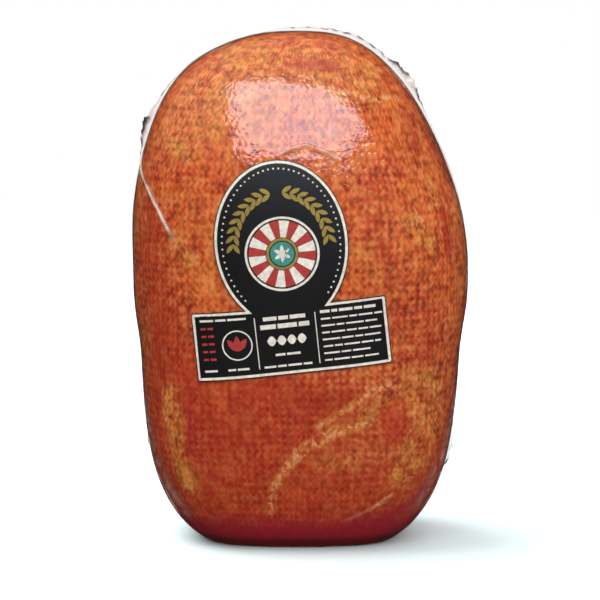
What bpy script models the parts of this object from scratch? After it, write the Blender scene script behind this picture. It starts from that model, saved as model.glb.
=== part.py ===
"""A whole boneless ham, shrink-wrapped in clear film and standing on its flat butt end.

Metres, +Z up. The label faces -Y, and the origin is the middle of the face that the ham stands on.
"""

import math

import bmesh
import bpy
from mathutils import Vector, noise

MM = 0.001

# The wrapped ham: its overall size, and the shape of its outline as seen from the front.
HEIGHT = 270 * MM
HALF_WIDTH_UPPER = 88.5 * MM
HALF_WIDTH_LOWER = 84.8 * MM
HALF_DEPTH_FRONT = 57 * MM
HALF_DEPTH_BACK = 55 * MM
WAIST_SLOPE = 2.4  # how soon below the middle the lower half's width holds
CENTRE_HEIGHT = 134 * MM  # the widest level, which all the directions below start from
BUTT_TRIMMED = 7 * MM  # what the flat butt end cuts off the rounded form
SHOULDER_SQUARENESS = {  # exponents of the outline in each quarter: 2 is an ellipse, more is squarer
    45: 1.98,
    135: 2.75,
    225: 3.45,
    315: 3.20,
}
SECTION_SQUARENESS = 2.45  # how flat the front and the back are
SECTION_SQUARENESS_AT_BUTT = 3.4
BUTT_SPREAD = 45  # degrees to each side of straight down

# Muscles that swell the surface: the way they lie from the centre, how far they reach, their rise.
MUSCLES = (
    ((-0.55, -0.55, 0.62), 0.50, 1.8 * MM),
    ((0.62, -0.60, 0.30), 0.42, 1.4 * MM),
    ((0.60, -0.62, -0.52), 0.40, 2.2 * MM),
    ((-0.45, -0.70, -0.55), 0.42, 1.6 * MM),
    ((-0.10, -0.85, -0.05), 0.36, 1.0 * MM),
    ((-0.60, 0.62, 0.20), 0.50, 2.4 * MM),
    ((0.50, 0.70, 0.45), 0.45, 2.0 * MM),
    ((0.45, 0.72, -0.45), 0.42, 2.6 * MM),
    ((-0.35, 0.75, -0.60), 0.40, 1.8 * MM),
)
# Seams between muscles, as lines across the front (-1) or the back (+1): x and z of both ends.
SEAM_WIDTH = 7 * MM
SEAM_DEPTH = 1.6 * MM
SEAMS = (
    (-1, (-16 * MM, 22 * MM), (58 * MM, 86 * MM)),
    (-1, (40 * MM, 232 * MM), (74 * MM, 196 * MM)),
    (1, (-50 * MM, 66 * MM), (36 * MM, 150 * MM)),
    (1, (36 * MM, 150 * MM), (12 * MM, 236 * MM)),
)
UNEVENNESS = 0.9 * MM
UNEVEN_SPACING = 42 * MM
NOISE_ORIGIN = Vector((3.7, 1.9, 8.4))

# The film's flattened side edge, which stands up as a low fin behind the shoulders.
FIN_BEHIND_MIDDLE = 5 * MM
FIN_HALF_WIDTH = 2.4 * MM
FIN_LOOPS = 4
FIN_LOWEST = 0.6 * MM
FIN_ENDS_BELOW = 0.6  # how far down the sides it runs: the slope of the lowest direction
FIN_RISES = (  # direction in degrees from +X towards +Z, spread in degrees, height
    (63, 6, 4.4 * MM),
    (76, 6, 1.8 * MM),
    (94, 12, 1.2 * MM),
    (134, 4.5, 4.6 * MM),
    (124, 7, 1.4 * MM),
    (-48, 6, 4.0 * MM),
    (223, 7, 2.2 * MM),
)
FIN_POINTEDNESS = 1.3
BODY_CUTS = 23  # an odd number, so that a loop of edges runs round the middle
ON_MIDDLE = 1e-6

# The die-cut label: an oval head on an oblong foot, tilted on the ham's front.
LABEL_TILT = math.radians(6.1)
FOOT_CENTRE_X = -4.3 * MM
FOOT_CENTRE_Z = 116.0 * MM
FOOT_HALF_WIDTH = 50.2 * MM
FOOT_HALF_HEIGHT = 17.7 * MM
FOOT_CORNER = 1.2 * MM
HEAD_RISE = 50.2 * MM  # from the foot's centre to the oval's centre
HEAD_HALF_WIDTH = 34.5 * MM
HEAD_HALF_HEIGHT = 43.0 * MM
HEAD_POINTS = 56
LABEL_GAP = 0.3 * MM
LABEL_THICKNESS = 0.6 * MM
CUTTER_REACH = 110 * MM


def material(name, colour, roughness, metallic=0.0):
    """A Principled BSDF with one colour."""
    made = bpy.data.materials.new(name)
    made.use_nodes = True
    shader = made.node_tree.nodes["Principled BSDF"]
    shader.inputs["Base Color"].default_value = (*colour, 1.0)
    shader.inputs["Roughness"].default_value = roughness
    shader.inputs["Metallic"].default_value = metallic
    return made


def add_object(name, bm, finish):
    """Links the mesh as a named object with one material."""
    mesh = bpy.data.meshes.new(name)
    bm.to_mesh(mesh)
    bm.free()
    mesh.materials.append(finish)
    made = bpy.data.objects.new(name, mesh)
    bpy.context.scene.collection.objects.link(made)
    return made


def around(degrees, centre, spread):
    """A smooth bump of height 1 at centre, in degrees round the outline."""
    away = (degrees - centre + 180) % 360 - 180
    return math.exp(-((away / spread) ** 2))


def outline_squareness(degrees):
    """The outline's exponent, eased from each quarter's value to the next."""
    shares = {at: math.cos(math.radians(degrees - at)) for at in SHOULDER_SQUARENESS}
    weights = {at: max(0.0, share) ** 2 for at, share in shares.items()}
    total = sum(weights.values())
    return sum(SHOULDER_SQUARENESS[at] * weight for at, weight in weights.items()) / total


def body_reach(way):
    """How far the plain form reaches from its centre in a direction."""
    degrees = math.degrees(math.atan2(way.z, way.x))
    squareness = outline_squareness(degrees)
    upper = min(1.0, max(0.0, 1 + WAIST_SLOPE * way.z))
    upper = upper * upper * (3 - 2 * upper)
    half_width = HALF_WIDTH_LOWER + (HALF_WIDTH_UPPER - HALF_WIDTH_LOWER) * upper
    half_height = HEIGHT - CENTRE_HEIGHT if way.z > 0 else CENTRE_HEIGHT + BUTT_TRIMMED
    half_depth = HALF_DEPTH_FRONT if way.y < 0 else HALF_DEPTH_BACK
    across = abs(way.x / half_width) ** squareness + abs(way.z / half_height) ** squareness
    across = across ** (1 / squareness)
    towards_butt = around(degrees, 270, BUTT_SPREAD)
    section = SECTION_SQUARENESS + (SECTION_SQUARENESS_AT_BUTT - SECTION_SQUARENESS) * towards_butt
    return (across**section + abs(way.y / half_depth) ** section) ** (-1 / section)


def distance_to_line(x, z, start, end):
    """How far a point of the front view lies from a line between two others."""
    along = Vector((end[0] - start[0], end[1] - start[1]))
    offset = Vector((x - start[0], z - start[1]))
    share = min(1.0, max(0.0, offset.dot(along) / along.length_squared))
    return (offset - share * along).length


def relief(way, point):
    """How far muscles, seams and plain unevenness move the surface in or out."""
    rise = 0.0
    for towards, reach, height in MUSCLES:
        rise += height * math.exp(-((way.angle(Vector(towards)) / reach) ** 2))
    for side, start, end in SEAMS:
        if side * way.y > 0:
            away = distance_to_line(point.x, point.z, start, end)
            rise -= SEAM_DEPTH * math.exp(-((away / SEAM_WIDTH) ** 2))
    return rise + UNEVENNESS * noise.noise(point / UNEVEN_SPACING + NOISE_ORIGIN)


def fin_rise(way, point):
    """How far the film's flattened edge stands up from the surface."""
    degrees = math.degrees(math.atan2(way.z, way.x))
    bumps = sum(rise * around(degrees, at, spread) for at, spread, rise in FIN_RISES)
    height = bumps + FIN_LOWEST * max(0.0, way.z + FIN_ENDS_BELOW)
    beside = abs(point.y - FIN_BEHIND_MIDDLE) / FIN_HALF_WIDTH
    return height * max(0.0, 1 - beside) ** FIN_POINTEDNESS


def wrapped_point(way):
    """The wrapped ham's surface in a direction from its centre."""
    plain = way * body_reach(way) + Vector((0, 0, CENTRE_HEIGHT))
    return plain + way * (relief(way, plain) + fin_rise(way, plain))


def shift_middle_loop(way):
    """Turns the directions a little, so that the middle loop lies where the fin stands."""
    behind = FIN_BEHIND_MIDDLE / body_reach(Vector((way.x, 0, way.z)).normalized())
    return Vector((way.x, way.y + behind * (1 - way.y * way.y), way.z)).normalized()


def ham_mesh(offset=0.0):
    """The wrapped ham as a closed mesh, moved outwards by an offset."""
    bm = bmesh.new()
    bmesh.ops.create_cube(bm, size=2)
    bmesh.ops.subdivide_edges(bm, edges=bm.edges[:], cuts=BODY_CUTS, use_grid_fill=True)
    for vert in bm.verts:
        vert.co.normalize()
    middle = [edge for edge in bm.edges if all(abs(v.co.y) < ON_MIDDLE for v in edge.verts)]
    bmesh.ops.bevel(
        bm,
        geom=middle,
        offset=FIN_HALF_WIDTH / HALF_DEPTH_FRONT,
        offset_type="OFFSET",
        affect="EDGES",
        segments=FIN_LOOPS,
        profile=0.5,
        material=-1,
    )
    half_size = (HALF_WIDTH_UPPER, HALF_DEPTH_FRONT, HEIGHT / 2)
    for vert in bm.verts:
        stretched = Vector(share * half for share, half in zip(vert.co.normalized(), half_size))
        vert.co = wrapped_point(shift_middle_loop(stretched.normalized()))
    bm.normal_update()
    for vert, normal in [(v, v.normal.copy()) for v in bm.verts]:
        vert.co += offset * normal
    floor = bmesh.ops.bisect_plane(
        bm,
        geom=bm.verts[:] + bm.edges[:] + bm.faces[:],
        dist=1e-6,
        plane_co=(0, 0, 0),
        plane_no=(0, 0, 1),
        clear_inner=True,
    )
    rim = [e for e in floor["geom_cut"] if isinstance(e, bmesh.types.BMEdge)]
    bmesh.ops.contextual_create(bm, geom=rim)
    bmesh.ops.recalc_face_normals(bm, faces=bm.faces[:])
    return bm


def foot_outline():
    """The oblong foot's corners, rounded, in the label's own frame."""
    points = []
    for corner in range(4):
        sign_u = 1 if corner in (0, 3) else -1
        sign_v = 1 if corner in (0, 1) else -1
        centre_u = sign_u * (FOOT_HALF_WIDTH - FOOT_CORNER)
        centre_v = sign_v * (FOOT_HALF_HEIGHT - FOOT_CORNER)
        for step in range(4):
            angle = math.radians(90 * corner + 30 * step)
            points.append(
                (centre_u + FOOT_CORNER * math.cos(angle), centre_v + FOOT_CORNER * math.sin(angle))
            )
    return points


def head_outline():
    """The oval head, in the label's own frame."""
    turns = [2 * math.pi * i / HEAD_POINTS for i in range(HEAD_POINTS)]
    return [
        (HEAD_HALF_WIDTH * math.cos(turn), HEAD_RISE + HEAD_HALF_HEIGHT * math.sin(turn))
        for turn in turns
    ]


def punch(name, outline, finish):
    """A prism with this outline, tilted as the label is, that reaches from the middle out past the front."""
    bm = bmesh.new()
    cos_tilt, sin_tilt = math.cos(LABEL_TILT), math.sin(LABEL_TILT)
    verts = [
        bm.verts.new(
            (
                FOOT_CENTRE_X + u * cos_tilt - v * sin_tilt,
                0,
                FOOT_CENTRE_Z + u * sin_tilt + v * cos_tilt,
            )
        )
        for u, v in outline
    ]
    face = bm.faces.new(verts)
    pulled = bmesh.ops.extrude_face_region(bm, geom=[face])
    front = [v for v in pulled["geom"] if isinstance(v, bmesh.types.BMVert)]
    bmesh.ops.translate(bm, verts=front, vec=(0, -CUTTER_REACH, 0))
    bmesh.ops.recalc_face_normals(bm, faces=bm.faces[:])
    return as_helper(add_object(name, bm, finish))


def as_helper(made):
    """Marks an object as a cutter or guide, which isn't part of the ham."""
    made.hide_render = True
    made.display_type = "WIRE"
    return made


def add_boolean(target, operation, other):
    modifier = target.modifiers.new(operation.title(), "BOOLEAN")
    modifier.operation = operation
    modifier.object = other
    modifier.solver = "EXACT"


def build_ham(finish):
    """The ham and its tight film, one solid out to the film's surface."""
    ham = add_object("ham", ham_mesh(), finish)
    ham.data.shade_smooth()
    ham.data.set_sharp_from_angle(angle=math.radians(40))
    return ham


def build_label(finish):
    """The label: an even skin on the ham's front, cut to the oval and the oblong joined."""
    label = add_object("label", ham_mesh(LABEL_GAP + LABEL_THICKNESS), finish)
    under = as_helper(add_object("label_underside", ham_mesh(LABEL_GAP), finish))
    foot = punch("foot_punch", foot_outline(), finish)
    head = punch("head_punch", head_outline(), finish)
    add_boolean(foot, "UNION", head)
    add_boolean(label, "INTERSECT", foot)
    add_boolean(label, "DIFFERENCE", under)
    return label


def stand_on_origin(pieces):
    """Moves everything so that the middle of the pieces' common box stands over the origin."""
    bpy.context.view_layer.update()
    graph = bpy.context.evaluated_depsgraph_get()
    corners = [Vector(corner) for piece in pieces for corner in piece.evaluated_get(graph).bound_box]
    for axis in range(2):
        spread = [corner[axis] for corner in corners]
        middle = (min(spread) + max(spread)) / 2
        for made in bpy.data.objects:
            made.location[axis] -= middle


def main():
    for old in list(bpy.data.objects):
        bpy.data.objects.remove(old)
    ham = build_ham(material("smoked_ham_in_film", (0.50, 0.13, 0.045), 0.25))
    label = build_label(material("printed_label", (0.02, 0.018, 0.018), 0.45))
    stand_on_origin((ham, label))


main()
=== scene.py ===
"""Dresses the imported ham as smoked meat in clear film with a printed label, on a pale studio floor.

Metres, +Z up. The label faces -Y. Lists of places are in millimetres, which MM turns to metres.
"""

import functools
import math

import bmesh
import bpy
from bpy.props import FloatProperty, FloatVectorProperty, IntProperty, PointerProperty
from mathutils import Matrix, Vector, noise
from mathutils.bvhtree import BVHTree
from mathutils.interpolate import poly_3d_calc


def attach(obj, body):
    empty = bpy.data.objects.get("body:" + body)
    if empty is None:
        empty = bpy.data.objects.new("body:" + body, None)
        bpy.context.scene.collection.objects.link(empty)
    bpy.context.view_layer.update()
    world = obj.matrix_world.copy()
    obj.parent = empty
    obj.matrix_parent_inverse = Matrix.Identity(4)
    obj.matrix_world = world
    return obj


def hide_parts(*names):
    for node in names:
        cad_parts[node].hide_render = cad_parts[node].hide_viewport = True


bl_info = {
    "name": "Boneless Ham in Film",
    "version": (1, 0, 0),
    "blender": (4, 5, 0),
    "location": "View3D > Sidebar > Ham",
    "description": "Builds the meat, clear film, printed label and stage over the packed ham",
    "category": "Object",
}

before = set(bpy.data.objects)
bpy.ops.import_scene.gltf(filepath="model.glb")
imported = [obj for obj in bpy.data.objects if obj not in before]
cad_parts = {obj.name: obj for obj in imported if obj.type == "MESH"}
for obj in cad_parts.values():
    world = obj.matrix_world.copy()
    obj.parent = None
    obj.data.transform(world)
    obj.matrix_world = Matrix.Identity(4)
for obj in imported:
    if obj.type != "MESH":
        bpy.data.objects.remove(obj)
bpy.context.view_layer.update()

MM = 0.001
CENTRE = Vector((0, 0, 134 * MM))  # the middle of the widest level, from which the form is measured
HALF_SIZE = Vector((88.5 * MM, 57 * MM, 135 * MM))
ON_FLOOR = 0.01 * MM
TOUCHING = 0.2 * MM  # how far inside the film's surface the meat lies where it presses against it
MERGE = 0.01 * MM
LEAN_LOW_DOWN = 0.85  # how far the smoked skin has thinned to red muscle at the foot
LOW_DOWN = (150 * MM, 30 * MM)  # heights between which it thins
MEAT_FOOT = 0.4 * MM  # how far above the film's flat foot the meat's own lies
FAINTEST_STREAK = 0.02  # strength of fat from which the meat's mesh is made finer
PATCH_END = 2.5  # times its reach, how far from its line a patch still counts

# The film's flattened edge, a fin that runs over the crown and down both sides.
FIN_Y = 6.2 * MM
FIN_CLEAR = 4.2 * MM  # how far to each side of it the plain form begins
CREASE_SPREAD = 2.2  # times its half width, how far from its line a crease's mesh is fine

# The film's mesh is made finer twice: how far beside the fin, and how far past a crease, in mm.
FINER_MESH = ((5, 2), (2.2, 0))

# Where the fin lies flat: points along each stretch in mm, its reach and how far it is flattened.
FLAT_FIN = ((((-55, 6, 243), (-40, 6, 256), (-22, 6, 266)), 13, 0.95),)

# Creases of the film: points along each in mm, its height, its half width and how milky it is.
CREASES = (
    (((-85, -6, 206), (-82, -24, 194), (-79, -29, 190), (-73, -36, 180), (-66, -42, 167)), 1.6, 1.9, 1.0),
    (((-12, -50, 210), (-5, -49, 214), (3, -49, 216), (14, -49, 212), (23, -48, 206)), 1.1, 1.5, 0.6),
    (((-6, -51, 208), (2, -51, 211), (9, -51, 210)), 0.6, 1.1, 0.5),
    (((22, -44, 16), (29, -44, 20), (37, -44, 24), (43, -44, 28), (49, -43, 33)), 1.6, 1.8, 0.12),
    (((-84, -10, 66), (-79, -20, 46), (-72, -24, 30), (-62, -26, 14)), 1.2, 1.4, 0.5),
    (((-86, -16, 84), (-82, -24, 62), (-78, -28, 48)), 0.8, 1.1, 0.35),
    (((84, -8, 66), (79, -18, 46), (72, -22, 30), (62, -26, 14)), 1.2, 1.4, 0.5),
    (((84, -20, 74), (79, -28, 54), (74, -32, 44)), 0.8, 1.1, 0.35),
    (((60, -36, 214), (70, -30, 200), (77, -26, 188)), 0.7, 1.0, 0.3),
    (((-72, 22, 226), (-62, 38, 214), (-50, 47, 200), (-42, 51, 182), (-38, 53, 160)), 1.0, 1.5, 0.4),
    (((78, 22, 74), (66, 38, 54), (52, 46, 40), (38, 49, 30), (24, 50, 24)), 1.1, 1.6, 0.4),
    (((-80, 20, 84), (-70, 34, 58), (-56, 43, 38), (-42, 46, 24)), 1.0, 1.5, 0.35),
    (((52, 26, 246), (46, 38, 232), (38, 46, 216)), 0.8, 1.2, 0.3),
)

FADE = 5  # mm over which a crease fades out at its ends

# Painted shade at the foot of a crease, a dark line where the film turns under itself: points, reach in mm
# and strength.
PAINTED_FOLD_SHADOWS = (
    (((-83, -18, 203), (-80, -27, 194), (-77, -31, 189), (-71, -37, 179), (-64, -43, 166)), 0.6, 0.55),
    (((-9, -51, 210), (1, -51, 213.6), (10, -51, 211.5)), 0.6, 0.4),
    (((25, -45, 14.5), (37, -45, 21.5), (47, -44, 28)), 0.7, 0.45),
)

# Where the film stands off the meat and looks milky: points along each in mm, its reach and strength.
LIFTED_PATCHES = (
    (((-86, -6, 206), (-84, -14, 196)), 4, 0.4),
    (((-84, -18, 72), (-80, -25, 50), (-72, -30, 34), (-63, -33, 18)), 5, 0.42),
    (((84, -18, 76), (79, -26, 54), (72, -31, 36), (63, -34, 20)), 5, 0.42),
    (((50, -4, 248), (66, 0, 234), (74, 2, 222)), 4, 0.5),
    (((-78, 24, 60), (-66, 36, 40)), 5, 0.25),
    (((76, 24, 62), (66, 34, 44)), 5, 0.25),
)

# Where the meat is lean, wet, golden or fatty: points along each patch in mm, its reach and strength.
LEAN_PATCHES = (
    (((-44, -53, 84), (-31, -54, 62), (-30, -50, 40)), 27, 0.95),
    (((-10, -55, 88), (20, -56, 84)), 13, 0.4),
    (((-4, -31, 255), (10, -29, 257), (23, -29, 254)), 7, 0.95),
    (((-17, -16, 266), (-6, -21, 264)), 4, 0.6),
    (((50, -8, 246), (60, -6, 236), (72, -12, 216), (80, -12, 194)), 4.5, 0.9),
    (((54, -25, 230), (58, -26, 221), (60, -29, 212)), 5, 0.8),
    (((72, -31, 186), (76, -32, 174), (77, -33, 159)), 5.5, 0.9),
    (((38, -53, 196), (42, -54, 160), (52, -52, 120)), 15, 0.5),
    (((66, -40, 140), (66, -42, 100)), 10, 0.4),
    (((-79, -29, 183), (-76, -34, 174), (-73, -37, 167)), 5, 0.8),
    (((-62, -42, 199), (-60, -44, 193)), 3.5, 0.6),
    (((-78, -30, 160), (-72, -40, 120), (-70, -42, 96)), 19, 0.8),
    (((-58, -48, 86), (-58, -47, 69), (-57, -46, 52)), 3.5, 0.6),
    (((47, -51, 75), (53, -49, 68)), 5.5, 0.8),
    (((20, 56, 60), (40, 52, 90)), 30, 0.85),
    (((-40, 52, 180), (-20, 56, 150)), 24, 0.6),
    (((84, 12, 110), (80, 20, 70)), 18, 0.6),
    (((-84, 16, 90), (-78, 24, 60)), 18, 0.6),
)
WET_PATCHES = (
    (((24, -44, 8), (40, -44, 13), (56, -41, 19), (66, -34, 26)), 8, 0.9),
    (((-57, -48, 88), (-57, -47, 70), (-56, -46, 54)), 3, 0.45),
    (((47, -51, 75), (52, -49, 62)), 4.5, 0.4),
    (((54, -8, 243), (64, -10, 231), (74, -13, 214)), 3, 0.6),
    (((0, -31, 255), (10, -30, 256), (19, -30, 254)), 5, 0.55),
    (((-8, -54, 205), (4, -54, 209), (14, -53, 206)), 3, 0.4),
    (((-30, 50, 12), (30, 50, 12)), 8, 0.4),
)
GOLD_PATCHES = (
    (((-68, -41, 84), (-66, -42, 65), (-64, -41, 52), (-58, -42, 36)), 6.5, 0.75),
    (((55, -45, 45), (63, -43, 58), (68, -41, 70), (66, -43, 90)), 10, 0.9),
    (((34, -53, 76), (52, -50, 98)), 8, 0.5),
    (((-15, -48, 29), (-8, -52, 46), (6, -54, 60), (27, -54, 69), (40, -53, 75)), 4.5, 0.3),
    (((67, -32, 194), (71, -33, 185)), 3.5, 0.9),
    (((56, -45, 178), (62, -44, 170), (67, -41, 163)), 5, 0.9),
    (((-67, -33, 216), (-60, -40, 211)), 5, 0.7),
    (((-63, -44, 164), (-57, -47, 158)), 5.5, 0.7),
    (((-50, -32, 234), (-20, -24, 256), (30, -30, 250)), 20, 0.65),
    (((-41, -1, 262), (-33, -18, 261)), 6, 0.6),
    (((12, -53, 50), (36, -51, 54)), 8, 0.35),
    (((-50, 40, 90), (-60, 36, 60)), 16, 0.8),
    (((30, 46, 216), (50, 38, 190)), 18, 0.8),
    (((-84, 10, 150), (-80, 14, 110)), 13, 0.7),
    (((80, 20, 190), (84, 14, 160)), 12, 0.7),
)
FAT_STREAKS = (
    (((-16, -46, 22), (-15, -48, 29), (-13, -51, 38), (-8, -52, 46), (0, -53, 56)), 2.9, 0.8),
    (((0, -53, 56), (6, -54, 60), (18, -54, 67), (27, -54, 69), (36, -53, 73)), 3.8, 0.9),
    (((9, -55, 70), (17, -55, 75), (31, -55, 84), (37, -54, 88), (48, -52, 92)), 2.2, 0.8),
    (((12, -38, 245), (23, -37, 242), (32, -36, 239), (41, -31, 238), (52, -24, 238)), 2.6, 1.0),
    (((-12, -28, 256), (0, -34, 250), (12, -38, 245)), 2.2, 0.6),
    (((24, -45, 17), (33, -45, 21.5), (41, -44, 26), (48, -43, 32)), 1.4, 0.9),
    (((-71, -38, 76), (-70, -38, 68)), 2.0, 0.8),
    (((68, -34, 194), (71, -34, 184)), 1.6, 0.9),
    (((59, -43, 184), (64, -41, 172), (66, -40, 160)), 1.5, 0.8),
    (((-52, 48, 58), (-35, 53, 74), (-14, 57, 96), (6, 57, 112), (20, 56, 128)), 3.2, 0.7),
    (((20, 56, 128), (29, 54, 144), (33, 53, 164), (32, 52, 186), (24, 50, 214), (12, 46, 236)), 2.4, 0.6),
    (((-64, 40, 190), (-40, 52, 214), (-8, 48, 232)), 2.4, 0.7),
    (((82, 22, 60), (86, 10, 110), (84, 12, 150)), 2.2, 0.8),
    (((-80, 24, 70), (-85, 12, 120), (-78, 22, 170)), 2.2, 0.8),
)

# The stocking that the ham was smoked in leaves its knit on the surface.
KNIT_RIBS = 146  # upright ribs all round, which stand 3.8 mm apart in front
KNIT_ROW = 4.0 * MM
KNIT_ZIGZAG = 1.05  # how far, in radians of a rib, each row pushes the ribs to and fro
KNIT_DOTS = 0.65  # how strongly the rows break the ribs up, beside the ribs' own 1
KNIT_BEND = 9.0  # how far, in radians of a rib, the knit is pulled out of line

# Patterns in the meat: the size of a blotch in mm, its stretch along each axis, detail and distortion.
MEAT_PATTERNS = {
    "blotches": (26, (1, 1, 1), 4, 0.4),
    "patches": (9, (1, 1, 1.5), 2, 0.8),
    "mottles": (4.4, (1, 1, 1.3), 0.6, 0.6),
    "flecks": (2.7, (1, 1, 1.1), 0, 0.5),
    "crumbs": (3.4, (1, 1, 1.2), 0.8, 1.0),
    "fibres": (3.0, (0.9, 0.9, 5), 0.5, 0.3),
}

# Shares worked out from a pattern or a mask: where it starts and is full, and the share at each.
MEAT_SHARES = {
    "broken": ("patches", 0.34, 0.58, 0.55, 1.0),
    "ragged": ("patches", 0.40, 0.58, 0.15, 1.0),
    "calm": ("lean", 0.5, 0.95, 1.0, 0.34),
    "crinkled": ("golden", 0.05, 0.5, 0.15, 1.0),
    "dabs": ("crumbs", 0.45, 0.58, 0.0, 1.0),
    "worn": ("blotches", 0.35, 0.62, 1.0, 0.38),
}

# Layers of colour from the bottom up: the colour, what shows it, where that starts and is full, the most
# that shows, and the share that holds it back.
MEAT_LAYERS = (
    ("golden", "blotches", 0.46, 0.66, 0.30, None),
    ("lean", "lean", 0.0, 1.0, 1.0, "broken"),
    ("lean", "patches", 0.54, 0.34, 0.50, "calm"),
    ("golden", "patches", 0.50, 0.70, 0.40, "calm"),
    ("golden", "golden", 0.0, 0.85, 1.0, "ragged"),
    ("dark_meat_and_foot_shade", "crumbs", 0.48, 0.32, 0.46, "crinkled"),
    ("fat", "crumbs", 0.52, 0.66, 0.45, "crinkled"),
    ("dark_meat_and_foot_shade", "mottles", 0.50, 0.28, 0.46, "calm"),
    ("fat", "mottles", 0.52, 0.74, 0.34, "calm"),
    ("dark_meat_and_foot_shade", "flecks", 0.50, 0.24, 0.40, "calm"),
    ("fat", "flecks", 0.52, 0.80, 0.34, "calm"),
    ("golden", "fat", 0.1, 0.7, 0.5, "ragged"),
    ("marbling", "fat", 0.2, 0.9, 0.85, "dabs"),
    ("dark_meat_and_foot_shade", "fibres", 0.52, 0.30, 0.16, None),
    ("dark_meat_and_foot_shade", "knit", 0.2, -1.5, 0.38, "worn"),
    ("fat", "knit", 0.2, 1.5, 0.18, "calm"),
    ("crimson", "wet", 0.0, 0.9, 0.9, "broken"),
    ("marbling", "fat", 0.3, 0.9, 0.4, "wet"),
    ("crimson", "height", 0.024, 0.010, 0.92, None),
    # Painted shade: the last few millimetres above the foot are darkened as contact shadow.
    ("dark_meat_and_foot_shade", "height", 0.009, 0.003, 0.95, None),
)
MEAT_RELIEF = {"flecks": 0.30, "fibres": 0.15, "knit": 0.16}


def linear(hex_colour):
    """The linear colour of an sRGB hex value."""
    shares = [int(hex_colour[place : place + 2], 16) / 255 for place in (1, 3, 5)]
    return [s / 12.92 if s <= 0.04045 else ((s + 0.055) / 1.055) ** 2.4 for s in shares]


def colour(name, description, hex_colour):
    """A colour that the sidebar shows."""
    return FloatVectorProperty(
        name=name, description=description, subtype="COLOR", default=linear(hex_colour), min=0, max=1
    )


def length(name, description, millimetres, least=0):
    """A length that the sidebar shows."""
    limits = {"default": millimetres * MM, "min": least}
    return FloatProperty(name=name, description=description, unit="LENGTH", precision=5, **limits)


def angle(name, description, degrees):
    """An angle that the sidebar shows."""
    start = math.radians(degrees)
    return FloatProperty(name=name, description=description, default=start, unit="ROTATION")


class MeatSettings(bpy.types.PropertyGroup):
    smoked: colour("Smoked", "Orange-brown surface that took the smoke", "#E66228")
    lean: colour("Lean", "Cured red muscle", "#B82B18")
    golden: colour("Golden", "Yellower smoked fat under the surface", "#E28A36")
    fat: colour("Fat", "Pale fat in the surface", "#F49E5C")
    marbling: colour("Marbling", "Fat in the seams between muscles", "#F0A26A")
    # Besides the dark mottles, this colour is the painted contact shade along the meat's foot.
    dark_meat_and_foot_shade: colour("Dark", "Dark cured meat between the mottles", "#6E120C")
    crimson: colour("Crimson", "Wet red meat round the butt's edge", "#A81A2C")
    gap: length("Gap", "How far the meat lies inside the film on average", 0.4)
    cuts: IntProperty(name="Cuts", description="Divisions of the starting cube's sides", default=104)


class FilmSettings(bpy.types.PropertyGroup):
    haze: colour("Haze", "Whitened film at folds, at its edge and off the meat", "#F0CDBA")
    # Painted shade: the dark colour laid along the fin's crumpled ridge and at the foot of some creases,
    # for the shadow and dark reflections in the folds.
    weld: colour("Weld", "Dark crumpled edge of the fin and foot of a crease", "#2C2120")
    roughness: FloatProperty(
        name="Roughness", description="Blur of the film's gloss", default=0.09, min=0, max=1
    )
    cuts: IntProperty(name="Cuts", description="Divisions of the starting cube's sides", default=84)


class LabelSettings(bpy.types.PropertyGroup):
    # Besides the printed field, this black is the painted shade line outside the cream edge and on the
    # label's sides.
    black_field_and_shade_line: colour("Field", "Black printed field", "#15100F")
    edge: colour("Edge", "Cream edge and fine print", "#EFE3CF")
    gold: colour("Gold", "Gold leaves", "#B99A4A")
    red: colour("Red", "Red rays", "#B8322B")
    teal: colour("Teal", "Teal disc", "#3F8F82")
    tilt: angle("Tilt", "Turn on the ham", 6.1)
    foot_x: length("Foot across", "The oblong's centre, across", -4.3, least=-1)
    foot_z: length("Foot height", "The oblong's centre, up", 116)
    foot_half_width: length("Foot half width", "Half of the oblong's width", 50.2)
    foot_half_height: length("Foot half height", "Half of the oblong's height", 17.7)
    head_rise: length("Oval rise", "From the oblong's centre to the oval's", 50.2)
    head_half_width: length("Oval half width", "Half of the oval's width", 34.5)
    head_half_height: length("Oval half height", "Half of the oval's height", 43)
    # The black line outside the cream edge is painted shade, a dark outline for the label's shadow on the
    # film.
    rim: length("Rim", "Width of the black line outside the cream edge", 0.45)
    border: length("Border", "Width of the cream edge", 1.35)
    thickness: length("Thickness", "Thickness of the label with its glue", 0.7)


class StageSettings(bpy.types.PropertyGroup):
    floor: colour("Floor", "Pale studio floor", "#D8EAEA")
    camera_distance: length("Camera distance", "From the aim to the camera", 1700)
    camera_elevation: angle("Camera elevation", "Above the horizon", 10)
    camera_lens: FloatProperty(name="Lens", description="Focal length", default=191.8, unit="CAMERA")


def add_node(tree, kind, inputs=None, out=0, **settings):
    """Adds a shader node and gives the output that out names or numbers, if the node has any.

    inputs maps a socket's name or number to a value or to another node's output. A Map Range's 1 to 4
    are where it starts and ends and what it gives there, and a Mix's 0, 6 and 7 its share and colours.
    """
    node = tree.nodes.new("ShaderNode" + kind)
    for name, value in settings.items():
        setattr(node, name, value)
    for key, value in (inputs or {}).items():
        if isinstance(value, bpy.types.NodeSocket):
            tree.links.new(value, node.inputs[key])
        else:
            node.inputs[key].default_value = value
    return node.outputs[out] if node.outputs else None


def cleared(owner):
    """Empties the nodes of a material, light or world, and gives the add_node that adds to them."""
    owner.use_nodes = True
    owner.node_tree.nodes.clear()
    return functools.partial(add_node, owner.node_tree)


def add_mesh(name, bm, materials):
    """Links an object made of a finished mesh."""
    mesh = bpy.data.meshes.new(name)
    bm.to_mesh(mesh)
    bm.free()
    for finish in materials:
        mesh.materials.append(finish)
    made = bpy.data.objects.new(name, mesh)
    bpy.context.scene.collection.objects.link(made)
    return made


def add_piece(name, bm, materials, node):
    """A finished mesh that rides on the ham's body and stands for a CAD node."""
    made = add_mesh(name, bm, materials)
    made.data.shade_smooth()
    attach(made, "root")
    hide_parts(node)
    return made


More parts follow.
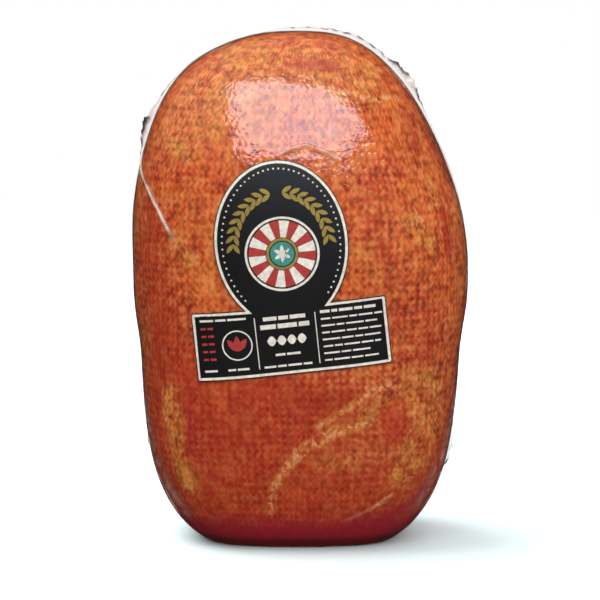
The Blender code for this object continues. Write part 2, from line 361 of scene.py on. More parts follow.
class Guide:
    """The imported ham's surface, curved smoothly between its vertices and going on below the floor."""

    SKIRT_DROP = 14 * MM
    SKIRT_INSET = 0.86
    ROUNDING = 0.75

    def __init__(self):
        bm = self.bm = bmesh.new()
        bm.from_mesh(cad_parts["ham"].data)
        bmesh.ops.remove_doubles(bm, verts=bm.verts[:], dist=MERGE)
        base = [face for face in bm.faces if all(v.co.z < ON_FLOOR for v in face.verts)]
        bmesh.ops.delete(bm, geom=base, context="FACES")
        rim = [edge for edge in bm.edges if edge.is_boundary]
        skirt = bmesh.ops.extrude_edge_only(bm, edges=rim)["geom"]
        lower = [item for item in skirt if isinstance(item, bmesh.types.BMVert)]
        bmesh.ops.scale(bm, vec=(self.SKIRT_INSET, self.SKIRT_INSET, 1), verts=lower)
        bmesh.ops.translate(bm, vec=(0, 0, -self.SKIRT_DROP), verts=lower)
        bmesh.ops.contextual_create(bm, geom=[edge for edge in bm.edges if edge.is_boundary])
        bmesh.ops.triangulate(bm, faces=bm.faces[:])
        bmesh.ops.recalc_face_normals(bm, faces=bm.faces[:])
        bm.normal_update()
        bm.faces.ensure_lookup_table()
        self.tree = BVHTree.FromBMesh(bm)

    def meet(self, start, way):
        """Where a ray meets the rounded surface, and the smooth normal there."""
        spot, _, index, _ = self.tree.ray_cast(start, way)
        corners = self.bm.faces[index].verts
        shares = poly_3d_calc([corner.co for corner in corners], spot)
        rounded, normal = Vector(), Vector()
        for corner, share in zip(corners, shares):
            off = (spot - corner.co).dot(corner.normal)
            rounded += share * (spot - off * corner.normal)
            normal += share * corner.normal
        return spot.lerp(rounded, self.ROUNDING), normal.normalized()

    def reach(self, way):
        """How far the surface is from the centre in a direction."""
        return (self.meet(CENTRE, way)[0] - CENTRE).dot(way)

    def plain_reach(self, way):
        """The same, but with the film's fin left out."""
        reach = self.reach(way)
        y = CENTRE.y + way.y * reach
        if abs(y - FIN_Y) > FIN_CLEAR:
            return reach
        sides = [
            self.reach(Vector((way.x, (FIN_Y + side * FIN_CLEAR) / reach, way.z)).normalized())
            for side in (-1, 1)
        ]
        share = (y - FIN_Y + FIN_CLEAR) / (2 * FIN_CLEAR)
        return sides[0] + (sides[1] - sides[0]) * share


@functools.cache
def shared_guide():
    """The guide surface, made once."""
    return Guide()


def eased(value, low, high):
    """A smooth step from 0 at low to 1 at high, or back where high is less."""
    share = min(1.0, max(0.0, (value - low) / (high - low)))
    return share * share * (3 - 2 * share)


@functools.cache
def line_parts(places):
    """A line's stretches as start, direction and length, with a ball that holds the line."""
    spots = [Vector(place) for place in places]
    parts = [(start, end - start, (end - start).length_squared) for start, end in zip(spots, spots[1:])]
    middle = sum(spots, Vector()) / len(spots)
    return parts, middle, max((spot - middle).length for spot in spots)


def line_distance(point, places, limit):
    """How far a point in mm is from a line through several places, or limit if it's further."""
    parts, middle, radius = line_parts(places)
    if (point - middle).length > radius + limit:
        return limit
    nearest = limit
    for start, along, squared in parts:
        off = point - start
        share = min(1.0, max(0.0, off.dot(along) / squared))
        nearest = min(nearest, (off - share * along).length)
    return nearest


def patch_strength(point, patches):
    """How strongly a point in mm lies in any of several patches, from 0 to 1."""
    rest = 1.0
    for places, reach, strength in patches:
        near = line_distance(point, places, PATCH_END * reach) / reach
        if near < PATCH_END:
            rest *= 1 - strength * math.exp(-near * near)
    return 1 - rest


def sphere_ways(cuts):
    """A ball of quads whose vertices are directions, spread evenly over the ham's own proportions."""
    bm = bmesh.new()
    bmesh.ops.create_cube(bm, size=2)
    bmesh.ops.subdivide_edges(bm, edges=bm.edges[:], cuts=cuts, use_grid_fill=True)
    for vert in bm.verts:
        spread = Vector(math.tan(math.pi / 4 * share) for share in vert.co).normalized()
        vert.co = Vector(share * half for share, half in zip(spread, HALF_SIZE)).normalized()
    return bm


def cut_level(bm, height):
    """Cuts off what is below a height and closes the flat face."""
    cut = bmesh.ops.bisect_plane(
        bm,
        geom=bm.verts[:] + bm.edges[:] + bm.faces[:],
        dist=MERGE,
        plane_co=(0, 0, height),
        plane_no=(0, 0, 1),
        clear_inner=True,
    )
    rim = [item for item in cut["geom_cut"] if isinstance(item, bmesh.types.BMEdge)]
    bmesh.ops.contextual_create(bm, geom=rim)
    bmesh.ops.recalc_face_normals(bm, faces=bm.faces[:])


def near_crease(point, beyond):
    """True if a point in mm lies on a crease or less than beyond past it."""
    reaches = ((places, CREASE_SPREAD * half + beyond) for places, _, half, _ in CREASES)
    return any(line_distance(point, places, reach) < reach for places, reach in reaches)


def in_order(items):
    """Each of several items once, in the order of their first places, which a set wouldn't keep."""
    return list(dict.fromkeys(items))


def refine(bm, guide, chosen):
    """Halves the edges of every face whose place on the form is chosen."""
    ways = {vert: vert.co.normalized() for vert in bm.verts}
    spots = {vert: CENTRE + way * guide.reach(way) for vert, way in ways.items()}
    faces = [face for face in bm.faces if any(chosen(spots[vert]) for vert in face.verts)]
    edges = in_order(edge for face in faces for edge in face.edges)
    bmesh.ops.subdivide_edges(bm, edges=edges, cuts=1, use_grid_fill=True)


def meat_depth(point):
    """How far inside the film the meat's surface lies, in mm, at a point in mm."""
    swell = 0.45 * noise.noise(point / 17 + Vector((2, 7, 1)))
    lumps = 0.35 * noise.noise(point / 7.5)
    grain = 0.14 * noise.noise(Vector((point.x / 2.6, point.y / 2.6, point.z / 7)))
    folds = noise.noise(Vector((math.atan2(point.y, point.x) * 9, point.z / 60, 3)))
    gathered = 0.6 * folds * (eased(point.z, 42, 8) + eased(point.z, 240, 268))
    streak = 0.45 * patch_strength(point, FAT_STREAKS)
    freed = 1.7 * patch_strength(point, LIFTED_PATCHES)
    return swell + lumps + grain + gathered + streak + freed


def build_meat(guide, settings):
    """The meat: the wrapped form less the film's fin and gap, with its own relief and masks."""
    bm = sphere_ways(settings.cuts)
    refine(bm, guide, lambda spot: patch_strength(spot / MM, FAT_STREAKS) > FAINTEST_STREAK)
    for vert in bm.verts:
        way = vert.co.normalized()
        point = CENTRE + way * guide.plain_reach(way)
        vert.co = point - way * max(TOUCHING, settings.gap + meat_depth(point / MM) * MM)
    axes = {"use_axis_x": True, "use_axis_y": True, "use_axis_z": True}
    bmesh.ops.smooth_vert(bm, verts=bm.verts[:], factor=0.4, **axes)
    cut_level(bm, MEAT_FOOT)
    masks = {"lean": LEAN_PATCHES, "golden": GOLD_PATCHES, "fat": FAT_STREAKS, "wet": WET_PATCHES}
    layers = {name: bm.verts.layers.float.new(name) for name in masks}
    for vert in bm.verts:
        for name, patches in masks.items():
            vert[layers[name]] = patch_strength(vert.co / MM, patches)
        low_down = LEAN_LOW_DOWN * eased(vert.co.z, *LOW_DOWN)
        vert[layers["lean"]] = min(1.0, vert[layers["lean"]] + low_down)
    return bm


def add_knit(add, place):
    """The stocking's knit, from -1.65 to 1.65: rows round the ham, and ribs that they push about."""
    rounded = add("Mapping", {"Vector": place, "Scale": (1 / HALF_SIZE.x, 1 / HALF_SIZE.y, 1)})
    around = add("TexGradient", {"Vector": rounded}, out="Fac", gradient_type="RADIAL")
    height = add("SeparateXYZ", {"Vector": place}, out="Z")
    drift = {"Vector": place, "Scale": 1 / (20 * MM), "Detail": 3.5, "Roughness": 0.62}
    pulled = add("TexNoise", drift)
    bent = add("Math", {0: pulled, 1: KNIT_BEND}, operation="MULTIPLY")
    waves, shift = [], bent
    for source, steepness in ((height, 2 * math.pi / KNIT_ROW), (around, 2 * math.pi * KNIT_RIBS)):
        phase = add("Math", {0: source, 1: steepness, 2: shift}, operation="MULTIPLY_ADD")
        waves.append(add("Math", {0: phase}, operation="SINE"))
        shift = add("Math", {0: waves[0], 1: KNIT_ZIGZAG, 2: bent}, operation="MULTIPLY_ADD")
    rows, ribs = waves
    return add("Math", {0: rows, 1: KNIT_DOTS, 2: ribs}, operation="MULTIPLY_ADD")


def meat_material(settings):
    """Cured, smoked and cooked meat.

    The smoke gives an orange-brown skin that thins to red muscle low down, with mottles, pale fat along
    the seams, fine upright fibres, and the print of the stocking that it hung in. Its gloss is faint. The
    last few millimetres above the foot are painted dark as contact shade.
    """
    made = bpy.data.materials.new("smoked_cured_meat")
    add = cleared(made)
    place = add("TexCoord", out="Object")
    shown = {
        name: add("Attribute", out="Fac", attribute_name=name)
        for name in ("lean", "golden", "fat", "wet")
    }
    shown["height"] = add("SeparateXYZ", {"Vector": place}, out="Z")
    shown["knit"] = add_knit(add, place)
    for name, (size, stretch, detail, distortion) in MEAT_PATTERNS.items():
        scale = [1 / (size * MM * part) for part in stretch]
        mapped = add("Mapping", {"Vector": place, "Scale": scale})
        inputs = {"Vector": mapped, "Scale": 1, "Detail": detail, "Distortion": distortion}
        shown[name] = add("TexNoise", {**inputs, "Roughness": 0.6})
    for name, (source, start, full, low, high) in MEAT_SHARES.items():
        inputs = {"Value": shown[source], 1: start, 2: full, 3: low, 4: high}
        shown[name] = add("MapRange", inputs, interpolation_type="SMOOTHSTEP")

    base = (*settings.smoked, 1)
    for ink, source, start, full, most, holder in MEAT_LAYERS:
        inputs = {"Value": shown[source], 1: start, 2: full, 4: most}
        share = add("MapRange", inputs, interpolation_type="SMOOTHSTEP")
        if holder:
            share = add("Math", {0: share, 1: shown[holder]}, operation="MULTIPLY")
        base = add("Mix", {0: share, 6: base, 7: (*getattr(settings, ink), 1)}, out=2, data_type="RGBA")

    relief = 0.0
    for name, weight in MEAT_RELIEF.items():
        relief = add("Math", {0: shown[name], 1: weight, 2: relief}, operation="MULTIPLY_ADD")
    bump = add("Bump", {"Height": relief, "Strength": 0.5, "Distance": 0.4 * MM})
    inputs = {"Base Color": base, "Roughness": 0.5, "IOR": 1.4, "Specular IOR Level": 0.25}
    shader = add("BsdfPrincipled", {**inputs, "Normal": bump})
    add("OutputMaterial", {"Surface": shader})
    return made


def build_film(guide, settings):
    """The shrunk film: a closed skin on the wrapped form, with its fin, creases and fine wrinkles."""
    bm = sphere_ways(settings.cuts)
    for side, beyond in FINER_MESH:
        refine(bm, guide, lambda spot: abs(spot.y - FIN_Y) < side * MM or near_crease(spot / MM, beyond))
    haze = bm.verts.layers.float.new("haze")
    weld = bm.verts.layers.float.new("weld")
    for vert in bm.verts:
        way = vert.co.normalized()
        reach = guide.reach(way)
        stands = max(0.0, reach - guide.plain_reach(way)) / MM
        flattened = stands * patch_strength((CENTRE + way * reach) / MM, FLAT_FIN)
        stands -= flattened
        spot = CENTRE + way * (reach - flattened * MM)
        at = spot / MM
        crinkle = noise.noise(Vector((at.x / 3.1, 4, at.z / 3.1))) + 0.5 * noise.noise(at / 1.7)
        wrinkle = 0.10 * noise.noise(at / 5.5) + 0.05 * noise.noise(at / 2.8)
        rise = wrinkle + (stands * 0.30 + 0.25 * patch_strength(at, LIFTED_PATCHES)) * crinkle
        folded = 0.0
        for places, height, half, milky in CREASES:
            away = line_distance(at, places, half)
            if away < half:
                from_ends = min((at - Vector(place)).length for place in (places[0], places[-1]))
                ends = min(1.0, from_ends / FADE)
                rise += height * (1 - away / half) ** 1.4 * ends
                uneven = 0.75 + 0.5 * noise.noise(at / 4.0)
                folded = max(folded, milky * ends * uneven * eased(away, 0.95 * half, 0.3 * half))
        vert.co = spot + way * rise * MM
        pinch = eased(stands, 0.5, 3.0)
        vert.co.y += (FIN_Y - vert.co.y) * 0.55 * pinch + 0.9 * MM * pinch * noise.noise(at / 4.5)
        lifted = patch_strength(at, LIFTED_PATCHES) * eased(crinkle, -0.7, 0.5)
        vert[haze] = min(1.0, 0.4 * eased(stands, 0.6, 3.0) + folded + lifted)
        # Painted shade: a broken dark line along the fin's ridge, for the dark reflections in the crumpled
        # fold.
        on_ridge = eased(abs(spot.y - FIN_Y), 1.5 * MM, 0.3 * MM)
        broken = eased(noise.noise(Vector((at.x / 5, 9, at.z / 5))), -0.2, 0.2)
        painted_fin_shade = on_ridge * broken * eased(stands, 0.7, 2.0)
        # The painted shade of the fin's ridge and of the creases' feet.
        vert[weld] = max(painted_fin_shade, patch_strength(at, PAINTED_FOLD_SHADOWS))
    cut_level(bm, 0)
    return bm


def film_material(settings):
    """Clear multilayer polyethylene shrink film.

    It mirrors the lights in a bright broken patch, is clear face on, and goes milky where it is folded. A
    dark colour along the fin's crumpled ridge and at the foot of some creases is painted shade.
    """
    made = bpy.data.materials.new("clear_shrink_film")
    add = cleared(made)
    place = add("TexCoord", out="Object")
    ripples, beads = (
        add("TexNoise", {"Vector": place, "Scale": 1 / (size * MM), "Detail": detail})
        for size, detail in ((4.0, 3.5), (2.0, 1.0))
    )
    relief = ripples
    for source, weight in ((beads, 0.9), (add_knit(add, place), 0.10)):
        relief = add("Math", {0: source, 1: weight, 2: relief}, operation="MULTIPLY_ADD")
    bump = add("Bump", {"Height": relief, "Strength": 0.2, "Distance": 0.5 * MM})

    fresnel = add("Fresnel", {"IOR": 1.9, "Normal": bump})
    inside = add("NewGeometry", out="Backfacing")
    mirror = add("Math", {0: fresnel, 1: inside}, operation="SUBTRACT", use_clamp=True)
    edgewise = add("LayerWeight", {"Blend": 0.5}, out="Facing")
    inputs = {"Value": edgewise, 1: 0.70, 2: 0.90, 4: 0.75}
    grazed = add("MapRange", inputs, interpolation_type="SMOOTHSTEP")
    mirror = add("Math", {0: mirror, 1: grazed}, operation="MAXIMUM")
    clear = add("BsdfTransparent")
    gloss = add("BsdfGlossy", {"Roughness": settings.roughness, "Normal": bump})
    glazed = add("MixShader", {0: mirror, 1: clear, 2: gloss})

    # The milky film also carries the painted shade: where the painted fold shade is strong, its dark
    # colour covers the film.
    haze, weld = (add("Attribute", out="Fac", attribute_name=name) for name in ("haze", "weld"))
    inputs = {0: weld, 6: (*settings.haze, 1), 7: (*settings.weld, 1)}
    tint = add("Mix", inputs, out=2, data_type="RGBA")
    milky = add("BsdfPrincipled", {"Base Color": tint, "Roughness": 0.3, "IOR": 1.5, "Normal": bump})
    cover = add("Math", {0: haze, 1: weld}, operation="MAXIMUM")
    covered = add("MapRange", {"Value": cover, 4: 0.9})
    surface = add("MixShader", {0: covered, 1: glazed, 2: milky})
    add("OutputMaterial", {"Surface": surface})
    return made


INKS = ("black_field_and_shade_line", "edge", "gold", "red", "teal")

# Widths in mm of the bars in each row of the right panel.
FINE_PRINT = (
    (5, 8, 4, 7, 4),
    (7, 4, 9, 6),
    (4, 7, 5, 5, 6),
    (9, 6, 4, 8),
    (5, 4, 8, 6, 3),
    (8, 5, 9),
    (4, 8, 6, 7),
)


class Press:
    """Draws flat plates in the label's own frame, in mm, and lays them on the ham."""

    GRID = 3.0
    SPANS = ((-54, 54), (-21, 96))  # what the grid covers across and up
    AIR = 0.1  # mm between the label and the film
    BEFORE_HAM = -200 * MM  # from where the label is moved back onto the ham
    BAR_GAP = 0.9  # mm between the bars of a row
    CLOSE = 0.001  # mm within which a vertex counts as on a line of the grid
    INK_LIFT = 0.05
    INK_DEPTH = 0.03  # how far the ink reaches into the label, so that no two faces lie in one place

    def __init__(self, guide, settings):
        self.bm = bmesh.new()
        self.guide = guide
        self.settings = settings
        self.top = settings.thickness / MM

    def raise_faces(self, faces, ink, low, high):
        """Extrudes flat faces from one height to another, in one ink."""
        for face in faces:
            face.material_index = INKS.index(ink)
        pulled = bmesh.ops.extrude_face_region(self.bm, geom=faces)["geom"]
        upper = [item for item in pulled if isinstance(item, bmesh.types.BMVert)]
        bmesh.ops.translate(self.bm, verts=upper, vec=(0, 0, high - low))
        return [item for item in pulled if isinstance(item, bmesh.types.BMFace)]

    def plate(self, outline, ink):
        """A thin plate of ink with this outline."""
        foot = self.top - self.INK_DEPTH
        verts = [self.bm.verts.new((u, v, foot)) for u, v in outline]
        self.raise_faces([self.bm.faces.new(verts)], ink, foot, self.top + self.INK_LIFT)

    def ring(self, u, v, outer, inner, ink, segments=48):
        """A flat ring of ink."""
        foot = self.top - self.INK_DEPTH
        loops = []
        for radius in (outer, inner):
            made = bmesh.ops.create_circle(self.bm, segments=segments, radius=radius)["verts"]
            bmesh.ops.translate(self.bm, verts=made, vec=(u, v, foot))
            loops += in_order(edge for vert in made for edge in vert.link_edges)
        faces = bmesh.ops.bridge_loops(self.bm, edges=loops)["faces"]
        self.raise_faces(faces, ink, foot, self.top + self.INK_LIFT)

    def dashes(self, left, v, widths, height, ink="edge"):
        """A row of bars with small gaps, which stands where a line of print would."""
        for width in widths:
            self.plate(bar(left + width / 2, v, width, height), ink)
            left += width + self.BAR_GAP

    def lay(self):
        """Cuts everything to a fine grid and bends it onto the ham."""
        bmesh.ops.triangulate(self.bm, faces=self.bm.faces[:])
        for axis, (low, high) in enumerate(self.SPANS):
            for step in range(int((high - low) / self.GRID)):
                place, facing = [0, 0, 0], [0, 0, 0]
                place[axis], facing[axis] = low + step * self.GRID, 1
                whole = self.bm.verts[:] + self.bm.edges[:] + self.bm.faces[:]
                bmesh.ops.bisect_plane(
                    self.bm, geom=whole, dist=self.CLOSE, plane_co=place, plane_no=facing
                )
        bmesh.ops.recalc_face_normals(self.bm, faces=self.bm.faces[:])
        across, up = math.cos(self.settings.tilt), math.sin(self.settings.tilt)
        for vert in self.bm.verts:
            u, v, lift = vert.co * MM
            x = self.settings.foot_x + u * across - v * up
            z = self.settings.foot_z + u * up + v * across
            spot, normal = self.guide.meet(Vector((x, self.BEFORE_HAM, z)), Vector((0, 1, 0)))
            vert.co = spot + normal * (lift + self.AIR * MM)
        return self.bm


def disc(u, v, radius, count):
    """The outline of a disc."""
    turns = [2 * math.pi * step / count for step in range(count)]
    return [(u + radius * math.cos(turn), v + radius * math.sin(turn)) for turn in turns]


def bar(u, v, width, height):
    """The outline of a bar centred on a place."""
    corners = ((-1, -1), (1, -1), (1, 1), (-1, 1))
    return [(u + side * width / 2, v + rise * height / 2) for side, rise in corners]


def leaf(u, v, size, width, turn):
    """The outline of a pointed leaf that starts at a place and points along turn."""
    points = []
    along, up = math.cos(turn), math.sin(turn)
    for side in (1, -1):
        for step in range(6):
            share = step / 6 if side == 1 else 1 - step / 6
            out = side * width / 2 * math.sin(math.pi * share) ** 0.8
            points.append((u + size * share * along - out * up, v + size * share * up + out * along))
    return points


def wedge(u, v, inner, outer, start, end):
    """The outline of one ray of a round burst."""
    ends = ((inner, start), (outer, start), (outer, (start + end) / 2), (outer, end), (inner, end))
    return [(u + radius * math.cos(turn), v + radius * math.sin(turn)) for radius, turn in ends]


def label_outline(settings):
    """The die-cut outline in mm: an oval that stands on an oblong with rounded corners."""
    half_width, half_height = settings.foot_half_width / MM, settings.foot_half_height / MM
    rise = settings.head_rise / MM
    across, up = settings.head_half_width / MM, settings.head_half_height / MM
    rounding = 1.2
    corners = []
    for side, rises, first in ((-1, -1, 180), (1, -1, 270), (1, 1, 0), (-1, 1, 90)):
        u, v = side * (half_width - rounding), rises * (half_height - rounding)
        turns = [math.radians(first + 30 * step) for step in range(4)]
        corners.append([(u + rounding * math.cos(turn), v + rounding * math.sin(turn)) for turn in turns])
    meets = math.asin((half_height - rise) / up)
    steps = 64
    turns = [meets + (math.pi - 2 * meets) * step / steps for step in range(steps + 1)]
    oval = [(across * math.cos(turn), rise + up * math.sin(turn)) for turn in turns]
    return corners[0] + corners[1] + corners[2] + oval + corners[3]


# Places and sizes in the print are in mm, from the oblong's centre.
def print_head(press, rise):
    """The oval's print: a round burst under two leafy sprays, in a ring of beads."""
    beads, rays, leaves = 72, 20, 9
    for step in range(beads):
        turn = 2 * math.pi * step / beads
        u, v = 30.2 * math.cos(turn), rise + 38.6 * math.sin(turn)
        if v > 21:  # clear of the oblong
            press.plate(disc(u, v, 0.5, 8), "edge")
    middle = rise - 5
    press.ring(0, middle, 19.2, 18.0, "edge")
    for step in range(rays):
        turn = 2 * math.pi * step / rays
        ink = "red" if step % 2 else "edge"
        press.plate(wedge(0, middle, 8.6, 17.2, turn, turn + 2 * math.pi / rays), ink)
    press.ring(0, middle, 8.2, 6.8, "gold")
    press.plate(disc(0, middle, 6.2, 28), "teal")
    for step in range(6):
        press.plate(leaf(0, middle, 4.6, 2.0, math.radians(60 * step + 30)), "edge")
    for side in (-1, 1):
        for step in range(leaves):
            along = math.radians(90 - side * (7 + 9.5 * step))
            u, v = 24.5 * math.cos(along), middle + 4 + 27.5 * math.sin(along)
            onward = along - side * math.pi / 2
            for lean in (-0.6, 0.6):
                press.plate(leaf(u, v, 6.0, 2.3, onward + lean), "gold")


def print_foot(press):
    """The oblong's print: three panels with plain bars, and a round seal."""
    for u in (-17.9, 13.3):
        press.plate(bar(u, 0, 0.5, 27), "edge")
    press.ring(-28, 0, 7.9, 7.2, "edge", 40)
    for step in range(3):
        press.plate(leaf(-28, -3.2, 8.2, 3.4, math.radians(90 + 38 * (step - 1))), "red")
    for v in (9.5, 5.5, 1.5, -2.5, -6.5):
        press.dashes(-46, v, (2.6, 3.0), 1.2, "red")
    press.dashes(-46, 13.6, (7, 5.5, 9.5), 1.1)
    press.dashes(-46, -12.6, (6.5,), 1.1)
    press.dashes(-34, -12.6, (4, 6), 1.1)
    press.dashes(-13.5, 12.4, (7, 5, 8), 2.0)
    press.dashes(-15.3, 8.2, (8, 10, 5.5), 2.4)
    for step in range(4):
        press.plate(leaf(-12.6 + 5.2 * step, 0.6, 4.8, 5.2, 0), "edge")
    press.dashes(-9, -6.8, (5, 7), 1.2)
    press.dashes(-15.3, -12.8, (6, 4.5, 7, 4.5), 1.1)
    press.dashes(16, 13.2, (5, 3, 7, 4, 6), 1.5)
    for step, widths in enumerate(FINE_PRINT):
        press.dashes(16, 9.4 - 3.6 * step, widths, 0.9)


def build_label(guide, settings):
    """The label: a thin plate with a cream edge round a black field, and its print in raised inks."""
    # The black field's colour also runs as a thin painted shade line outside the cream edge and up the
    # label's sides.
    press = Press(guide, settings)
    verts = [press.bm.verts.new((u, v, 0)) for u, v in label_outline(settings)]
    top = press.raise_faces([press.bm.faces.new(verts)], "black_field_and_shade_line", 0, press.top)
    press.bm.normal_update()
    # The outer ring stays black as the painted shade line round the label.
    for ink, width in (("edge", settings.rim), ("black_field_and_shade_line", settings.border)):
        bmesh.ops.inset_region(press.bm, faces=top, thickness=width / MM, use_even_offset=True)
        for face in top:
            face.material_index = INKS.index(ink)
    print_head(press, settings.head_rise / MM)
    print_foot(press)
    return press.lay()


def ink_material(name, ink, roughness, metallic=0.0):
    """Offset ink on coated paper under a satin varnish: flat colour with an even, slightly soft gloss."""
    made = bpy.data.materials.new(name)
    add = cleared(made)
    place = add("TexCoord", out="Object")
    wear = add("TexNoise", {"Vector": place, "Scale": 1 / (2.0 * MM), "Detail": 3.0})
    worn = add("MapRange", {"Value": wear, 1: 0.35, 2: 0.7, 3: 0.8, 4: 1.1})
    tint = add("Mix", {0: 1.0, 6: (*ink, 1), 7: worn}, out=2, data_type="RGBA", blend_type="MULTIPLY")
    shader = add("BsdfPrincipled", {"Base Color": tint, "Roughness": roughness, "Metallic": metallic})
    add("OutputMaterial", {"Surface": shader})
    return made


class HAM_OT_build_meat(bpy.types.Operator):
    """Models the smoked meat inside the film"""

    bl_idname = "ham.build_meat"
    bl_label = "Build Meat"

    def execute(self, context):
        settings = context.scene.ham_meat
        bm = build_meat(shared_guide(), settings)
        add_piece("ham_meat", bm, [meat_material(settings)], "ham")
        return {"FINISHED"}


class HAM_OT_build_film(bpy.types.Operator):
    """Models the clear film with its fin and creases"""

    bl_idname = "ham.build_film"
    bl_label = "Build Film"

    def execute(self, context):
        settings = context.scene.ham_film
        bm = build_film(shared_guide(), settings)
        add_piece("clear_film", bm, [film_material(settings)], "ham")
        return {"FINISHED"}


class HAM_OT_build_label(bpy.types.Operator):
    """Models the die-cut label and its print"""

    bl_idname = "ham.build_label"
    bl_label = "Build Label"

    def execute(self, context):
        settings = context.scene.ham_label
        finishes = [
            ink_material("black_field_ink_and_shade_line", settings.black_field_and_shade_line, 0.45),
            ink_material("cream_coated_paper", settings.edge, 0.5),
            ink_material("gold_ink", settings.gold, 0.4, 0.4),
            ink_material("red_ink", settings.red, 0.5),
            ink_material("teal_ink", settings.teal, 0.5),
        ]
        bm = build_label(shared_guide(), settings)
        made = add_piece("printed_label", bm, finishes, "label")
        made.data.set_sharp_from_angle(angle=math.radians(35))
        return {"FINISHED"}


class HAM_OT_build_stage(bpy.types.Operator):
    """Sets the pale floor, the soft studio light and the camera"""

    bl_idname = "ham.build_stage"
    bl_label = "Build Stage"

    AIM = Vector((0, 0, 0.127))  # what the camera looks at
    LIT = Vector((0, 0, 0.18))  # what the lights look at
    FLOOR_HALF_SIZE = 20
    FLOOR_FADES = {1: 0.45, 2: 1.3}  # metres from the ham, where the paper starts and ends to turn white
    OVEREXPOSED = 1.85  # the photograph's floor is blown out, so only the deepest shadow shows

    # Each light's kind, its azimuth and elevation in degrees and distance, its settings, and whether it
    # lights the floor alone or all else. The film mirrors the softbox alone.
    LIGHTS = {
        "softbox": (
            "AREA",
            (4, 36.5, 2.1),
            {"shape": "RECTANGLE", "size": 4.8, "size_y": 2.6, "energy": 47, "color": (0.88, 1, 1.15)},
            "EXCLUDE",
        ),
        "overhead": ("SUN", (-115, 72, 3), {"angle": math.radians(60), "energy": 1.2}, "EXCLUDE"),
        "floor_key": ("SUN", (-110, 58, 3), {"angle": math.radians(50), "energy": 1.8}, "INCLUDE"),
    }

    # Black cards before the softbox, whose face is 1 wide and 1 high here. Each card is bounded by one
    # to three lines, and covers where the first number times across plus the second times up is more
    # than the third for all of them.
    FLAGS = (
        ((1.056, 1.0, 1.265), (0.75, 1.0, 1.1), (0.15, 1.0, 0.655)),
        ((1.24, -1.0, 0.53),),
        ((-0.144, -1.0, -0.312),),
        ((-1.2, -0.217, -0.477),),
    )
    FLAG_EDGE = 0.02
    CLOTH_EVEN = 2.4  # how bright the softbox's cloth is all over, beside 1 for its bright clouds

    # The room as it lights and as the film mirrors it: the direction that it brightens in, where that
    # starts and ends along it, and the strength at each.
    ROOM = ((0.3, -0.2, 0.9), -0.8, 0.9, 0.17, 0.80)
    CEILING = ((-0.35, 0, 0.95), 0.4, 0.95, 0.02, 0.42)

    def execute(self, context):
        settings = context.scene.ham_stage
        floor = self.add_floor(settings)
        self.add_lights(context, floor)
        self.add_room(context)
        self.add_camera(context, settings)
        context.scene.view_settings.view_transform = "Standard"
        return {"FINISHED"}

    def add_floor(self, settings):
        """Matt white paper, which shows the soft shadow and goes over into plain white far off."""
        made = bpy.data.materials.new("matt_white_paper")
        add = cleared(made)
        place = add("TexCoord", out="Object")
        away = add("VectorMath", {0: place}, out="Value", operation="LENGTH")
        far = add("MapRange", {"Value": away, **self.FLOOR_FADES}, interpolation_type="SMOOTHSTEP")
        bright = [self.OVEREXPOSED * share for share in settings.floor]
        lit = add("BsdfDiffuse", {"Color": (*bright, 1)})
        white = add("Emission")
        paper = add("MixShader", {0: far, 1: lit, 2: white})
        add("OutputMaterial", {"Surface": paper})
        bm = bmesh.new()
        bmesh.ops.create_grid(bm, x_segments=1, y_segments=1, size=self.FLOOR_HALF_SIZE)
        floor = add_mesh("floor", bm, [made])
        floor.visible_glossy = False
        floor.visible_diffuse = False
        return floor

    def aim(self, context, made, target, azimuth, elevation, distance):
        """Links a light or the camera, in a direction and at a distance from what it looks at."""
        level = math.cos(elevation)
        away = Vector((math.sin(azimuth) * level, -math.cos(azimuth) * level, math.sin(elevation)))
        made.location = target + away * distance
        made.rotation_euler = away.to_track_quat("Z", "Y").to_euler()
        context.scene.collection.objects.link(made)

    def flag_softbox(self, data):
        """Shapes the softbox's face with black cards, and clouds it as its cloth does."""
        add = cleared(data)
        place = add("NewGeometry", out="Parametric")
        open_share = 1.0
        for lines in self.FLAGS:
            covered = 1.0
            for *across_up, limit in lines:
                inputs = {0: place, 1: (*across_up, 0)}
                past = add("VectorMath", inputs, out="Value", operation="DOT_PRODUCT")
                inputs = {"Value": past, 1: limit, 2: limit + self.FLAG_EDGE, 4: covered}
                covered = add("MapRange", inputs)
            open_share = add("MapRange", {"Value": covered, 3: open_share, 4: 0.0})
        cloth = add("TexNoise", {"Vector": place, "Scale": 6.0})
        clouds = add("MapRange", {"Value": cloth, 1: 0.35, 2: 0.65, 3: 0.0, 4: open_share})
        strength = add("Math", {0: open_share, 1: self.CLOTH_EVEN, 2: clouds}, operation="MULTIPLY_ADD")
        glow = add("Emission", {"Strength": strength})
        add("OutputLight", {"Surface": glow})

    def add_lights(self, context, floor):
        """A softbox and a broad light overhead that miss the floor, and a light on the floor alone."""
        linked = {}
        for state in ("EXCLUDE", "INCLUDE"):
            linked[state] = bpy.data.collections.new("floor_" + state.lower())
            linked[state].objects.link(floor)
            linked[state].collection_objects[0].light_linking.link_state = state
        for name, (kind, (azimuth, elevation, distance), settings, state) in self.LIGHTS.items():
            data = bpy.data.lights.new(name, kind)
            for key, value in settings.items():
                setattr(data, key, value)
            light = bpy.data.objects.new(name, data)
            light.visible_camera = False
            light.visible_glossy = name == "softbox"
            light.light_linking.receiver_collection = linked[state]
            self.aim(context, light, self.LIT, math.radians(azimuth), math.radians(elevation), distance)
        self.flag_softbox(bpy.data.lights["softbox"])

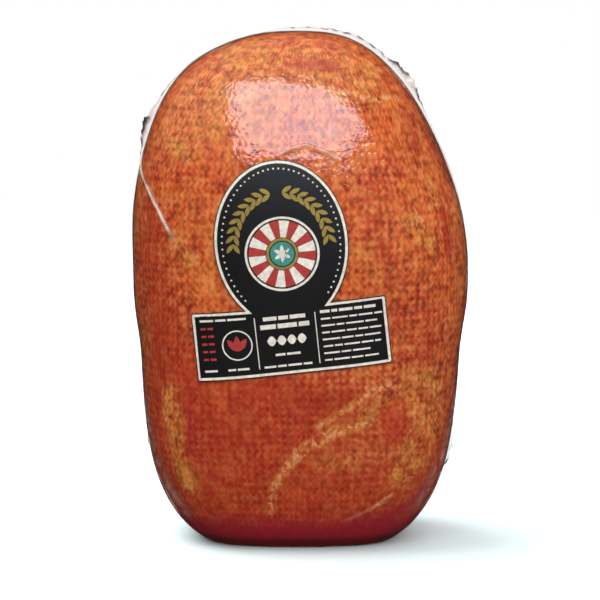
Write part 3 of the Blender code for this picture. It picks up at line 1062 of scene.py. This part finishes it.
    def add_room(self, context):
        """A pale room, white to the camera, that lights the ham evenly and is mirrored more dimly."""
        world = bpy.data.worlds.new("pale_room")
        add = cleared(world)
        place = add("TexCoord", out="Generated")
        shades = []
        for way, start, full, low, high in (self.ROOM, self.CEILING):
            along = add("VectorMath", {0: place, 1: way}, out="Value", operation="DOT_PRODUCT")
            shades.append(add("MapRange", {"Value": along, 1: start, 2: full, 3: low, 4: high}))
        strength = shades[0]
        for rays, shade in (("Is Glossy Ray", shades[1]), ("Is Camera Ray", 1.0)):
            seen = add("LightPath", out=rays)
            strength = add("MapRange", {"Value": seen, 3: strength, 4: shade})
        glow = add("Background", {"Color": (1, 1, 1, 1), "Strength": strength})
        add("OutputWorld", {"Surface": glow})
        context.scene.world = world

    def add_camera(self, context, settings):
        """The photograph's view: in front and a little above."""
        data = bpy.data.cameras.new("camera")
        data.lens = settings.camera_lens
        data.sensor_width = 36
        data.clip_end = 100
        camera = bpy.data.objects.new("camera", data)
        self.aim(context, camera, self.AIM, 0, settings.camera_elevation, settings.camera_distance)
        context.scene.camera = camera


OPERATORS = (HAM_OT_build_meat, HAM_OT_build_film, HAM_OT_build_label, HAM_OT_build_stage)


class HAM_PT_sidebar(bpy.types.Panel):
    bl_idname = "HAM_PT_sidebar"
    bl_label = "Boneless Ham"
    bl_space_type = "VIEW_3D"
    bl_region_type = "UI"
    bl_category = "Ham"

    def draw(self, context):
        for operator, settings in zip(OPERATORS, SETTINGS):
            box = self.layout.box()
            box.operator(operator.bl_idname)
            group = getattr(context.scene, settings)
            for name in group.bl_rna.properties.keys():
                if name not in ("rna_type", "name"):
                    box.prop(group, name)


SETTINGS = {
    "ham_meat": MeatSettings,
    "ham_film": FilmSettings,
    "ham_label": LabelSettings,
    "ham_stage": StageSettings,
}
CLASSES = (*SETTINGS.values(), *OPERATORS, HAM_PT_sidebar)


def register():
    for each in CLASSES:
        bpy.utils.register_class(each)
    for name, group in SETTINGS.items():
        setattr(bpy.types.Scene, name, PointerProperty(type=group))


def unregister():
    for name in SETTINGS:
        delattr(bpy.types.Scene, name)
    for each in reversed(CLASSES):
        bpy.utils.unregister_class(each)


def main():
    register()
    bpy.ops.ham.build_meat()
    bpy.ops.ham.build_film()
    bpy.ops.ham.build_label()
    bpy.ops.ham.build_stage()


if __name__ == "__main__":
    main()
